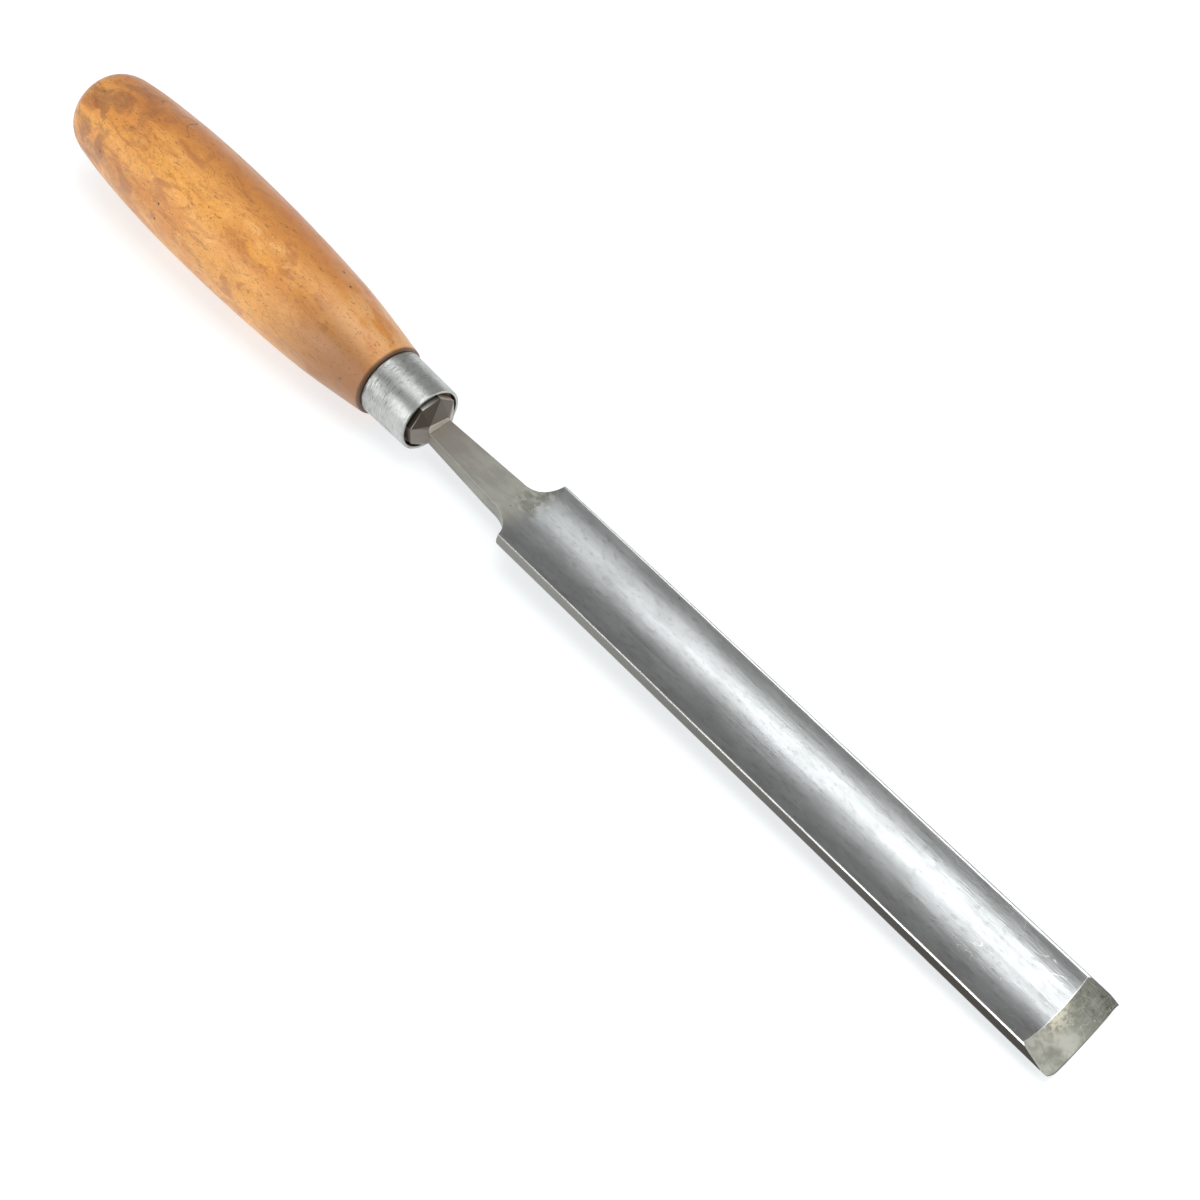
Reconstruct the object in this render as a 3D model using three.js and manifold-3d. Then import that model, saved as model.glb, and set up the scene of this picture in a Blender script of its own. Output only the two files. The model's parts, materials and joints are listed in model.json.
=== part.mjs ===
// In-cannel gouge: forged steel blade, neck, bolster and tang in one piece, steel ferrule, turned handle.
// The tool is drawn about its own axis, with x = 0 at the ferrule's front rim, +x towards the cutting edge
// and the hollow of the blade facing +z. Millimetres throughout.
import * as THREE from 'three';
import { ConvexGeometry } from 'three/addons/geometries/ConvexGeometry.js';
import { mergeVertices } from 'three/addons/utils/BufferGeometryUtils.js';
import Module from 'manifold-3d';

const wasm = await Module();
wasm.setup();

// ---- Driving dimensions ------------------------------------------------------------------------------

const FIT_GAP = 0.3;               // clearance left between pieces that are driven or pressed together

// Blade: a shallow trough, 25.4 mm (1 in) across its lower corners.
const BLADE_WIDTH = 25.4;
const EDGE_X = 228.0;              // middle of the cutting edge
const SHOULDER_X = 41.4;           // back corners of the blade
const SOLE_RADIUS = 25.4;          // convex underside
const CANNEL_RADIUS = 24;          // hollow upper side
const WALL_LEAN = 0.49;            // side walls lean inwards towards the rims, radians from upright
const RIM_FLAT = 0.6;              // width of the flat rim beside the hollow
const RIM_Z_EDGE = 4.5;            // height of the rims at the cutting edge
const RIM_Z_SHOULDER = 3.25;       // height of the rims at the shoulder
const CORNER_Z_EDGE = 2.3;         // height where wall and sole would meet, at the cutting edge
const CORNER_Z_SHOULDER = 0.65;    // the same at the shoulder
const CORNER_EASE = 0.7;           // the meeting of wall and sole is eased off by this much

// Bevel ground inside the hollow, down to the underside.
const BEVEL_LENGTH = 8.7;
const BEVEL_RADIUS = 26.8;
const BEVEL_YAW = 0.02;            // ground very slightly out of square, radians

// Neck between bolster and shoulder: a tapering rectangular bar.
const NECK_START_X = 3.9;          // where the bolster ends, in a small step above the neck
const NECK_WIDTH_START = 7.4;
const NECK_END_X = 31.9;
const NECK_WIDTH_END = 10.2;
const NECK_TOP_Z = 1.0;
const NECK_BOTTOM_Z = [-3.1, -3.9]; // at the bolster, and where the shoulder starts
const SHOULDER_FILLET = 9.8;       // concave radius from the neck out to the blade's back corners

// Bolster: an octagonal block that narrows to the neck, sunk in the mouth of the ferrule.
const BOLSTER_FLATS = 15.1;        // across flats
const BOLSTER_BACK_X = -1.2;
const BOLSTER_FRONT_X = 1.0;       // where the eight facets start to slope in
const BOLSTER_STEP_Z = [3.8, 2.2]; // top of that step, right side then left side of the blade

// Tang: a square spike inside the handle.
const TANG_WIDTH_ROOT = 7;
const TANG_WIDTH_TIP = 3;
const TANG_END_X = -76;

// Ferrule: a short steel tube that tapers towards its mouth.
const FERRULE_LENGTH = 16.6;
const FERRULE_RADIUS_FRONT = 9.92;
const FERRULE_RADIUS_BACK = 10.3;
const FERRULE_WALL = 0.95;

// Handle: turned hardwood, barrel-shaped, with a small flat in the middle of the domed butt.
const HANDLE_SHOULDER_X = -16.9;
const HANDLE_BUTT_X = -151.9;
const BUTT_FLAT_RADIUS = 6;
const TENON_END_X = -1.5;

// The same section is needed by several cuts: half widths and depths of sole and hollow.
const SOLE_HALF = BLADE_WIDTH / 2 + CORNER_EASE * Math.tan(WALL_LEAN);
const SOLE_CENTRE = Math.sqrt(SOLE_RADIUS ** 2 - SOLE_HALF ** 2);
const RIM_HALF = SOLE_HALF - (RIM_Z_EDGE - CORNER_Z_EDGE) * Math.tan(WALL_LEAN) - RIM_FLAT;
const CANNEL_CENTRE = Math.sqrt(CANNEL_RADIUS ** 2 - RIM_HALF ** 2);

// ---- Helpers -----------------------------------------------------------------------------------------

const X = new THREE.Vector3(1, 0, 0);
const Y = new THREE.Vector3(0, 1, 0);
const Z = new THREE.Vector3(0, 0, 1);

/** A value that runs evenly from the shoulder to the cutting edge. */
function alongBlade(atShoulder, atEdge, x) {
  return THREE.MathUtils.mapLinear(x, SHOULDER_X, EDGE_X, atShoulder, atEdge);
}

/** Extrudes an outline drawn in the (y, z) plane along +x, from one x to another. */
function extrudeAlongX(shape, fromX, toX, curveSegments) {
  const geometry = new THREE.ExtrudeGeometry(shape, { depth: toX - fromX, bevelEnabled: false, curveSegments });
  geometry.applyMatrix4(new THREE.Matrix4().makeBasis(Y, Z, X));
  geometry.translate(fromX, 0, 0);
  return geometry;
}

/** Turns a profile of (radius, x) points about the x axis. */
function turnAboutX(points, segments) {
  const geometry = new THREE.LatheGeometry(points, segments);
  geometry.applyMatrix4(new THREE.Matrix4().makeBasis(Y, X, Z.clone().negate()));
  return geometry;
}

/** Turns a closed geometry into a solid that can be joined and cut. */
function toSolid(geometry) {
  const bare = geometry.index ? geometry.toNonIndexed() : geometry.clone();
  bare.deleteAttribute('normal');
  bare.deleteAttribute('uv');
  const merged = mergeVertices(bare, 1e-4);
  return new wasm.Manifold(new wasm.Mesh({
    numProp: 3,
    vertProperties: new Float32Array(merged.attributes.position.array),
    triVerts: new Uint32Array(merged.index.array),
  }));
}

/** Turns a solid back into a geometry with flat-shaded faces. */
function toGeometry(solid) {
  const mesh = solid.getMesh();
  const geometry = new THREE.BufferGeometry();
  geometry.setAttribute('position', new THREE.BufferAttribute(mesh.vertProperties.slice(), 3));
  geometry.setIndex(new THREE.BufferAttribute(mesh.triVerts.slice(), 1));
  geometry.computeVertexNormals();
  return geometry;
}

/** Makes a named piece with its own material. */
function makePiece(name, geometry, color, roughness, metalness) {
  const mesh = new THREE.Mesh(geometry, new THREE.MeshStandardMaterial({ color, roughness, metalness }));
  mesh.name = name;
  return mesh;
}

// ---- Blade, neck, bolster and tang: one forging -------------------------------------------------------

/** The blade before hollowing: convex sole, leaning side walls, and a top well above the rims. */
function makeBladeBlank() {
  const soleAngle = Math.asin((SOLE_HALF - CORNER_EASE) / SOLE_RADIUS);
  const wallHeight = 8;
  const topHalf = SOLE_HALF - wallHeight * Math.tan(WALL_LEAN);
  const section = new THREE.Shape();
  section.moveTo(topHalf, wallHeight);
  section.lineTo(-topHalf, wallHeight);
  section.lineTo(-BLADE_WIDTH / 2, CORNER_EASE);
  section.absarc(0, SOLE_CENTRE, SOLE_RADIUS, -Math.PI / 2 - soleAngle, -Math.PI / 2 + soleAngle, false);
  section.lineTo(BLADE_WIDTH / 2, CORNER_EASE);
  const blank = extrudeAlongX(section, 0, EDGE_X + 4, 28);
  const slope = Math.atan((CORNER_Z_EDGE - CORNER_Z_SHOULDER) / (EDGE_X - SHOULDER_X));
  blank.rotateY(-slope);
  blank.translate(0, 0, alongBlade(CORNER_Z_SHOULDER, CORNER_Z_EDGE, 0));
  return toSolid(blank);
}

/** A flat cut that leaves the rims at their height, and the hollow between them. */
function makeCannelCutter() {
  const cannelAngle = Math.asin(RIM_HALF / CANNEL_RADIUS);
  const section = new THREE.Shape();
  section.moveTo(20, 0);
  section.lineTo(20, 20);
  section.lineTo(-20, 20);
  section.lineTo(-20, 0);
  section.lineTo(-RIM_HALF, 0);
  section.absarc(0, CANNEL_CENTRE, CANNEL_RADIUS, -Math.PI / 2 - cannelAngle, -Math.PI / 2 + cannelAngle, false);
  const cutter = extrudeAlongX(section, -10, EDGE_X + 10, 28);
  cutter.rotateY(-Math.atan((RIM_Z_EDGE - RIM_Z_SHOULDER) / (EDGE_X - SHOULDER_X)));
  cutter.translate(0, 0, alongBlade(RIM_Z_SHOULDER, RIM_Z_EDGE, 0));
  return toSolid(cutter);
}

/** A round-bottomed cut that slopes down from the hollow to the middle of the cutting edge. */
function makeBevelCutter() {
  const heelZ = RIM_Z_EDGE - (CANNEL_RADIUS - CANNEL_CENTRE);
  const edgeZ = CORNER_Z_EDGE - (SOLE_RADIUS - SOLE_CENTRE);
  const length = 80;
  const cutter = new THREE.CylinderGeometry(BEVEL_RADIUS, BEVEL_RADIUS, length, 160);
  cutter.rotateZ(Math.PI / 2);
  cutter.translate(0, 0, BEVEL_RADIUS);
  cutter.rotateY(Math.atan((heelZ - edgeZ) / BEVEL_LENGTH));
  cutter.rotateZ(BEVEL_YAW);
  cutter.translate(EDGE_X, 0, edgeZ);
  return toSolid(cutter);
}

/** The plan outline of neck and blade: tapering neck, concave fillets, straight sides. */
function makePlanform() {
  const half = BLADE_WIDTH / 2 + 1;
  const neckHalf = NECK_WIDTH_END / 2;
  const filletCentreY = neckHalf + SHOULDER_FILLET;
  const filletEnd = Math.acos((filletCentreY - BLADE_WIDTH / 2) / SHOULDER_FILLET);
  const plan = new THREE.Shape();
  plan.moveTo(NECK_START_X - 1, -NECK_WIDTH_START / 2);
  plan.lineTo(NECK_END_X, -neckHalf);
  plan.absarc(NECK_END_X, -filletCentreY, SHOULDER_FILLET, Math.PI / 2, Math.PI / 2 - filletEnd, true);
  plan.lineTo(SHOULDER_X, -half);
  plan.lineTo(EDGE_X + 6, -half);
  plan.lineTo(EDGE_X + 6, half);
  plan.lineTo(SHOULDER_X, half);
  plan.absarc(NECK_END_X, filletCentreY, SHOULDER_FILLET, -Math.PI / 2 + filletEnd, -Math.PI / 2, true);
  plan.lineTo(NECK_START_X - 1, NECK_WIDTH_START / 2);
  const height = 40;
  const block = new THREE.ExtrudeGeometry(plan, { depth: height, bevelEnabled: false, curveSegments: 12 });
  block.translate(0, 0, -height / 2);
  return toSolid(block);
}

/** The neck bar: a slab as thick as the neck, which ends inside the root of the blade. */
function makeNeckSlab() {
  const side = new THREE.Shape();
  side.moveTo(NECK_START_X - 1, NECK_BOTTOM_Z[0]);
  side.lineTo(NECK_END_X - 3, NECK_BOTTOM_Z[1]);
  side.lineTo(SHOULDER_X - 3, NECK_BOTTOM_Z[1] + 1.4);
  side.lineTo(SHOULDER_X - 2, 0.5);
  side.lineTo(NECK_END_X, NECK_TOP_Z);
  side.lineTo(NECK_START_X - 1, NECK_TOP_Z);
  const slab = new THREE.ExtrudeGeometry(side, { depth: 30, bevelEnabled: false });
  slab.rotateX(Math.PI / 2);
  slab.translate(0, 15, 0);
  return toSolid(slab);
}

/** The octagonal bolster, narrowing to the section of the neck. */
function makeBolster() {
  const corner = BOLSTER_FLATS / 2 / Math.cos(Math.PI / 8);
  const points = [];
  for (let i = 0; i < 8; i += 1) {
    const angle = (i + 0.5) * Math.PI / 4;
    const y = corner * Math.cos(angle);
    const z = corner * Math.sin(angle);
    points.push(new THREE.Vector3(BOLSTER_BACK_X, y, z), new THREE.Vector3(BOLSTER_FRONT_X, y, z));
  }
  [-1, 1].forEach((side, i) => {
    const y = side * NECK_WIDTH_START / 2;
    points.push(new THREE.Vector3(NECK_START_X, y * 0.87, BOLSTER_STEP_Z[i]));
    points.push(new THREE.Vector3(NECK_START_X, y, BOLSTER_STEP_Z[i] - 1));
    points.push(new THREE.Vector3(NECK_START_X, y, NECK_BOTTOM_Z[0]));
  });
  return toSolid(new ConvexGeometry(points));
}

/** The tang: a square spike that runs back from the bolster. `grow` widens it to cut its hole. */
function makeTang(grow = 0) {
  const root = (TANG_WIDTH_ROOT / 2 + grow) * Math.SQRT2;
  const tip = (TANG_WIDTH_TIP / 2 + grow) * Math.SQRT2;
  const endX = TANG_END_X - grow;
  const startX = BOLSTER_BACK_X + 0.5;
  const tang = new THREE.CylinderGeometry(root, tip, startX - endX, 4);
  tang.rotateY(Math.PI / 4);
  tang.rotateZ(-Math.PI / 2);
  tang.translate((startX + endX) / 2, 0, 0);
  return toSolid(tang);
}

function makeGougeBlade() {
  const trough = makeBladeBlank().intersect(makePlanform()).subtract(makeCannelCutter());
  const neck = makeNeckSlab().intersect(makePlanform());
  const keepFrom = toSolid(new THREE.BoxGeometry(EDGE_X, 60, 60).translate(EDGE_X / 2 + NECK_END_X - 2, 0, 0));
  const blade = trough.intersect(keepFrom).add(neck).subtract(makeBevelCutter());
  return toGeometry(blade.add(makeBolster()).add(makeTang()));
}

// ---- Ferrule -----------------------------------------------------------------------------------------

function makeFerrule() {
  const back = -FERRULE_LENGTH;
  const ease = 0.2;
  const profile = [
    new THREE.Vector2(FERRULE_RADIUS_BACK - FERRULE_WALL, back),
    new THREE.Vector2(FERRULE_RADIUS_BACK - ease, back),
    new THREE.Vector2(FERRULE_RADIUS_BACK, back + ease),
    new THREE.Vector2(FERRULE_RADIUS_FRONT, -ease),
    new THREE.Vector2(FERRULE_RADIUS_FRONT - ease, 0),
    new THREE.Vector2(FERRULE_RADIUS_FRONT - FERRULE_WALL, 0),
    new THREE.Vector2(FERRULE_RADIUS_BACK - FERRULE_WALL, back),
  ];
  return toGeometry(toSolid(turnAboutX(profile, 72)));
}

// ---- Handle ------------------------------------------------------------------------------------------

/** Radius of the barrel at a distance from the butt, through the sizes at nine stations. */
function makeBarrelCurve() {
  return new THREE.SplineCurve([
    new THREE.Vector2(14.25, HANDLE_BUTT_X + 8.5),
    new THREE.Vector2(15, HANDLE_BUTT_X + 14.5),
    new THREE.Vector2(15.9, HANDLE_BUTT_X + 25),
    new THREE.Vector2(16.8, HANDLE_BUTT_X + 45),
    new THREE.Vector2(16.7, HANDLE_BUTT_X + 70),
    new THREE.Vector2(15.7, HANDLE_BUTT_X + 95),
    new THREE.Vector2(14.05, HANDLE_BUTT_X + 115),
    new THREE.Vector2(12.2, HANDLE_BUTT_X + 128),
    new THREE.Vector2(11.2, HANDLE_SHOULDER_X - 0.6),
  ]);
}

function makeHandle() {
  const butt = new THREE.CubicBezierCurve(
    new THREE.Vector2(BUTT_FLAT_RADIUS, HANDLE_BUTT_X),
    new THREE.Vector2(11.3, HANDLE_BUTT_X + 0.1),
    new THREE.Vector2(13.5, HANDLE_BUTT_X + 2.2),
    new THREE.Vector2(14.25, HANDLE_BUTT_X + 8.5),
  );
  const tenonBack = FERRULE_RADIUS_BACK - FERRULE_WALL - FIT_GAP;
  const tenonFront = FERRULE_RADIUS_FRONT - FERRULE_WALL - FIT_GAP;
  const profile = [
    new THREE.Vector2(0, HANDLE_BUTT_X),
    ...butt.getPoints(8),
    ...makeBarrelCurve().getPoints(26).slice(1),
    new THREE.Vector2(10.7, HANDLE_SHOULDER_X),
    new THREE.Vector2(tenonBack, HANDLE_SHOULDER_X),
    new THREE.Vector2(tenonFront, TENON_END_X),
    new THREE.Vector2(0, TENON_END_X),
  ];
  const wood = toSolid(turnAboutX(profile, 72));
  return toGeometry(wood.subtract(makeTang(FIT_GAP)));
}

// ---- Assembly, laid down on a bench ------------------------------------------------------------------

const blade = makePiece('gouge_blade', makeGougeBlade(), 0x8d8f8e, 0.32, 0.95);
const ferrule = makePiece('ferrule', makeFerrule(), 0xa3a5a0, 0.4, 0.9);
const handle = makePiece('handle', makeHandle(), 0xb87a3c, 0.45, 0);

const tool = new THREE.Group();
tool.add(handle, ferrule, blade);

/** Height of a piece's lowest point. */
function lowest(piece) {
  return new THREE.Box3().setFromObject(piece, true).min.z;
}

// Tip the tool until the handle's belly and the cutting edge are at the same height.
for (let i = 0; i < 8; i += 1) {
  tool.updateMatrixWorld(true);
  tool.rotation.y += (lowest(blade) - lowest(handle)) / (EDGE_X - HANDLE_BUTT_X);
}

// Stand it on z = 0, with the origin under the middle of its box.
tool.updateMatrixWorld(true);
const box = new THREE.Box3().setFromObject(tool, true);
const middle = box.getCenter(new THREE.Vector3());
tool.position.set(-middle.x, -middle.y, -box.min.z);

const part = new THREE.Group();
part.name = 'in_cannel_gouge';
part.add(tool);

export default part;
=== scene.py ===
# In-cannel gouge: a steel trough with an octagonal bolster, a steel ferrule and a turned beech handle.
# It lies hollow up on a pale table, on the belly of its handle and on its cutting edge.
import json
import math

import bmesh
import bpy
import numpy as np
from mathutils import Matrix, Vector

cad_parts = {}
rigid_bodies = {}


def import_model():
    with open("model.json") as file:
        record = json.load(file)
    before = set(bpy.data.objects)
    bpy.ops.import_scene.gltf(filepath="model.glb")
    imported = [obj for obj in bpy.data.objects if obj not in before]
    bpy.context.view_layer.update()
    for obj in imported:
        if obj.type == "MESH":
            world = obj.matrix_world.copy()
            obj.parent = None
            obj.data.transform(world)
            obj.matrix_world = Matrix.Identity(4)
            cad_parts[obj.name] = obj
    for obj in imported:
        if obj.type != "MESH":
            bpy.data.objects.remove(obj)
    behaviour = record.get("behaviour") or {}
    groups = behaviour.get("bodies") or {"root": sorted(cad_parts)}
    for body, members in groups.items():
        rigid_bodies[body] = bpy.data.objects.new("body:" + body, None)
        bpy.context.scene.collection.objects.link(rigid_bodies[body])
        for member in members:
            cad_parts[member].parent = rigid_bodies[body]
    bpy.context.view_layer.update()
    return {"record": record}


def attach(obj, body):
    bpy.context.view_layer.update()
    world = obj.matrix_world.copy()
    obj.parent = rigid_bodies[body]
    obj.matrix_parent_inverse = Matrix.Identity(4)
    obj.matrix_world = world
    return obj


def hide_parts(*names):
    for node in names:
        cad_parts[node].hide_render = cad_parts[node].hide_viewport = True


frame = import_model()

# ---- Handle ---------------------------------------------------------------------------------------------
# One billet of beech turned on a lathe between centres, with a tenon for the ferrule and a bored, burnt-in
# hole for the tang. It is barrel-shaped, and long use has given it a brown polish, stains and small dents.

BUTT_X = -151.9                     # the flat in the middle of the handle's butt
HANDLE_SHOULDER_X = -16.9           # where the wood meets the ferrule
TENON_END_X = -1.5
BARREL = [                          # distance from the butt, radius
    (8.5, 14.25), (14.5, 15.0), (25.0, 15.9), (45.0, 16.8), (70.0, 16.7),
    (95.0, 15.7), (115.0, 14.05), (128.0, 12.2), (134.4, 11.2),
]
DOME = [(0.0, 6.0), (0.1, 11.3), (2.2, 13.5), (8.5, 14.25)]   # Bezier points of the butt's edge, same order
TENON_RADII = (9.05, 8.67)          # at the shoulder, at the end
BORE_RADII = (5.3, 2.5)             # at the mouth, at the bottom
BORE_END_X = -76.3
LEAN = 0.0045                       # slope of the handle's axis against the blade's
LEAN_PIVOT_X = -60.0

# Every piece is turned, bored or forged about one axis, which dips towards the edge as the tool lies on the
# table. Pieces are drawn in millimetres on it, x = 0 at the ferrule's front rim and +x towards the edge.
butt_face = frame["record"]["mounts"][0]
along = -Vector(butt_face["axis"]).normalized()
across = Vector((0, 1, 0))
tool_origin = Vector(butt_face["pos_m"]) - along * BUTT_X / 1000
TOOL = Matrix.Translation(tool_origin) @ Matrix((along, across, along.cross(across))).transposed().to_4x4()
TOOL_MM = TOOL @ Matrix.Scale(0.001, 4)


def lay_on_table(name, mesh):
    """Makes a finished object of a mesh drawn on the tool's axis, with its place in its vertices."""
    mesh.transform(TOOL_MM)
    mesh.name = name
    piece = bpy.data.objects.new(name, mesh)
    bpy.context.scene.collection.objects.link(piece)
    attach(piece, "root")
    return piece


def add(tree, kind, inputs=None, out=0, **settings):
    """Adds a node with its settings and links. An input is a value or a socket; an output is returned."""
    made = tree.nodes.new(kind)
    for name, value in settings.items():
        setattr(made, name, value)
    for name, value in (inputs or {}).items():
        if isinstance(value, bpy.types.NodeSocket):
            tree.links.new(value, made.inputs[name])
        else:
            made.inputs[name].default_value = value
    return made.outputs[out] if made.outputs else made


def linear(hexcode):
    """A six-digit sRGB colour as linear red, green, blue and alpha."""
    channels = [int(hexcode[i:i + 2], 16) / 255 for i in (0, 2, 4)]
    return (*[c / 12.92 if c <= 0.04045 else ((c + 0.055) / 1.055) ** 2.4 for c in channels], 1.0)


def start_material(name):
    """A named material with its tree, its shader, and the place on the tool's axis in millimetres."""
    material = bpy.data.materials.new(name)
    material.use_nodes = True
    tree = material.node_tree
    to_tool = TOOL_MM.inverted()
    place = add(tree, "ShaderNodeMapping", {
        "Vector": add(tree, "ShaderNodeTexCoord", out="Object"),
        "Location": to_tool.to_translation(),
        "Rotation": to_tool.to_euler(),
        "Scale": to_tool.to_scale(),
    })
    return material, tree, tree.nodes["Principled BSDF"], place


def cloud(tree, place, sizes, detail=3.0, twist=0.0):
    """Noise whose clouds have these sizes in millimetres along x, y and z, mostly between 0.3 and 0.7."""
    scaled = add(tree, "ShaderNodeMapping", {"Vector": place, "Scale": [1 / size for size in sizes]})
    return add(tree, "ShaderNodeTexNoise", {
        "Vector": scaled, "Scale": 1.0, "Detail": detail, "Roughness": 0.58, "Distortion": twist,
    })


def patches(tree, place, sizes, low, high, most=1.0, detail=3.0, twist=0.0):
    """A mask of soft patches: nothing where a cloud is below the low level, the most above the high one."""
    return add(tree, "ShaderNodeMapRange", {
        0: cloud(tree, place, sizes, detail, twist), 1: low, 2: high, 4: most,
    }, interpolation_type="SMOOTHSTEP")


def hairlines(tree, place, sizes, width):
    """A mask of thin curved scratches: the middle level line of a smooth cloud of these sizes."""
    level = add(tree, "ShaderNodeMath", {0: cloud(tree, place, sizes, 0.0), 1: 0.5}, operation="SUBTRACT")
    off = add(tree, "ShaderNodeMath", {0: level}, operation="ABSOLUTE")
    return add(tree, "ShaderNodeMapRange", {0: off, 1: 0.0, 2: width, 3: 1.0, 4: 0.0})


def specks(tree, place, spacing, radius, share):
    """A mask of round specks, one to a cell of this spacing, in this share of the cells."""
    scaled = add(tree, "ShaderNodeMapping", {"Vector": place, "Scale": [1 / spacing] * 3})
    near = add(tree, "ShaderNodeTexVoronoi", {"Vector": scaled, "Scale": 1.0}, out="Distance")
    dots = add(tree, "ShaderNodeMapRange", {
        0: near, 1: 0.5 * radius / spacing, 2: radius / spacing, 3: 1.0, 4: 0.0,
    })
    chance = add(tree, "ShaderNodeSeparateXYZ", {0: near.node.outputs["Color"]})
    chosen = add(tree, "ShaderNodeMath", {0: chance, 1: share}, operation="LESS_THAN")
    return add(tree, "ShaderNodeMath", {0: dots, 1: chosen}, operation="MULTIPLY")


def layered(tree, base, layers):
    """A base colour with tints laid over it, each with a mask."""
    colour = linear(base)
    for mask, tint in layers:
        colour = add(tree, "ShaderNodeMix", {0: mask, 6: colour, 7: linear(tint)}, 2, data_type="RGBA")
    return colour


# Beech under a worn shellac polish: honey-gold, with painted shade that turns it orange-brown towards the far
# side, the short dark flecks of the wood's rays and a soft shine that greys off at a glance.
wood, tree, shader, place = start_material("beech_turned_and_polished")
x, y = add(tree, "ShaderNodeSeparateXYZ", {0: place}).node.outputs[:2]
streaks = patches(tree, place, (12, 1.8, 1.8), 0.48, 0.74, 0.4)
flecks = patches(tree, place, (1.7, 0.5, 0.5), 0.6, 0.7, 0.6, 1.5, 1.2)
dots = specks(tree, place, 6.0, 0.55, 0.3)
near_butt = add(tree, "ShaderNodeMapRange", {0: x, 1: -112.0, 2: -140.0, 3: 0.12, 4: 1.0})
near_ferrule = add(tree, "ShaderNodeMapRange", {0: x, 1: -62.0, 2: -24.0}, interpolation_type="SMOOTHSTEP")
palm_side = add(tree, "ShaderNodeMapRange", {0: y, 1: 0.0, 2: -8.0}, interpolation_type="SMOOTHSTEP")
# Painted shade: the wood is darkened towards the far (+y) side of the handle.
far_side_painted_shade = add(tree, "ShaderNodeMapRange", {0: y, 1: -6.0, 2: 9.0, 4: 0.75}, interpolation_type="SMOOTHSTEP")
grime = add(tree, "ShaderNodeMath", {
    0: near_butt, 1: patches(tree, place, (10, 7, 7), 0.44, 0.6, 0.6, 4.0, 1.0),
}, operation="MULTIPLY")
handled = add(tree, "ShaderNodeMath", {0: near_ferrule, 1: palm_side}, operation="MULTIPLY")
handled = add(tree, "ShaderNodeMath", {0: handled, 1: 0.8}, operation="MULTIPLY")
washed = add(tree, "ShaderNodeMath", {
    0: near_ferrule, 1: patches(tree, place, (16, 6, 6), 0.36, 0.56, 0.75),
}, operation="MULTIPLY")
# A dark ring on the wood where it meets the ferrule: dirt in the joint and painted shade in its gap.
joint = add(tree, "ShaderNodeMapRange", {
    0: x, 1: HANDLE_SHOULDER_X - 1.0, 2: HANDLE_SHOULDER_X - 0.3, 4: 0.9,
})
scrawl = hairlines(tree, place, (9, 9, 9), 0.012)
for limit in (
    add(tree, "ShaderNodeMapRange", {0: y, 1: 1.0, 2: 6.0}),
    add(tree, "ShaderNodeMapRange", {0: x, 1: -100.0, 2: -112.0}),
    patches(tree, place, (13, 13, 13), 0.46, 0.56, 0.85),
):
    scrawl = add(tree, "ShaderNodeMath", {0: scrawl, 1: limit}, operation="MULTIPLY")
colour = layered(tree, "eba54b", [
    (patches(tree, place, (24, 11, 11), 0.4, 0.62, 0.8), "d58a3b"),
    (patches(tree, place, (8, 4, 4), 0.54, 0.7, 0.45, 3.0, 1.0), "f7bf72"),
    (streaks, "b46c2d"),
    (patches(tree, place, (2.4, 1.0, 1.0), 0.54, 0.66, 0.5, 3.0, 2.5), "a8652e"),
    # painted shade on the far side
    (far_side_painted_shade, "b96d2b"),
    (patches(tree, place, (15, 7, 7), 0.52, 0.66, 0.6, 4.0, 1.5), "b06a30"),
    (washed, "e0a96f"),
    (handled, "8d582c"),
    (grime, "84512e"),
    (flecks, "71401c"),
    (dots, "4e2f1a"),
    (scrawl, "4a2b16"),
    (joint, "4b301d"),
])
tree.links.new(colour, shader.inputs["Base Color"])
tree.links.new(add(tree, "ShaderNodeMapRange", {
    0: cloud(tree, place, (12, 5, 5)), 1: 0.35, 2: 0.65, 3: 0.38, 4: 0.52,
}), shader.inputs["Roughness"])
shader.inputs["IOR"].default_value = 1.5
shader.inputs["Coat Weight"].default_value = 0.22
shader.inputs["Coat Roughness"].default_value = 0.3
shader.inputs["Sheen Weight"].default_value = 0.08
height = add(tree, "ShaderNodeMath", {0: streaks, 1: flecks}, operation="SUBTRACT")
height = add(tree, "ShaderNodeMath", {0: height, 1: dots}, operation="SUBTRACT")
height = add(tree, "ShaderNodeMath", {0: height, 1: scrawl}, operation="SUBTRACT")
tree.links.new(add(tree, "ShaderNodeBump", {
    "Height": height, "Distance": 0.00009, "Strength": 0.5,
}), shader.inputs["Normal"])


def bezier(points, share):
    """A point of a cubic Bezier curve."""
    a, b, c, d = (np.array(p) for p in points)
    rest = 1 - share
    return rest ** 3 * a + 3 * rest ** 2 * share * b + 3 * rest * share ** 2 * c + share ** 3 * d


def through(points, step):
    """A smooth curve through points, in equal steps of the first number."""
    xs, ys = np.array(points).T
    slopes = np.gradient(ys, xs)
    result = []
    for i in range(len(xs) - 1):
        span = xs[i + 1] - xs[i]
        count = max(1, round(span / step))
        for t in np.arange(count) / count:
            rise = (2 * t ** 3 - 3 * t ** 2 + 1) * ys[i] + (3 * t ** 2 - 2 * t ** 3) * ys[i + 1]
            bend = span * ((t ** 3 - 2 * t ** 2 + t) * slopes[i] + (t ** 3 - t ** 2) * slopes[i + 1])
            result.append((xs[i] + t * span, rise + bend))
    return result + [(xs[-1], ys[-1])]


def evenly(start, end, count):
    """Points on a straight line, the first left out."""
    start, end = np.array(start), np.array(end)
    return [tuple(start + (end - start) * (i + 1) / count) for i in range(count)]


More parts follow.
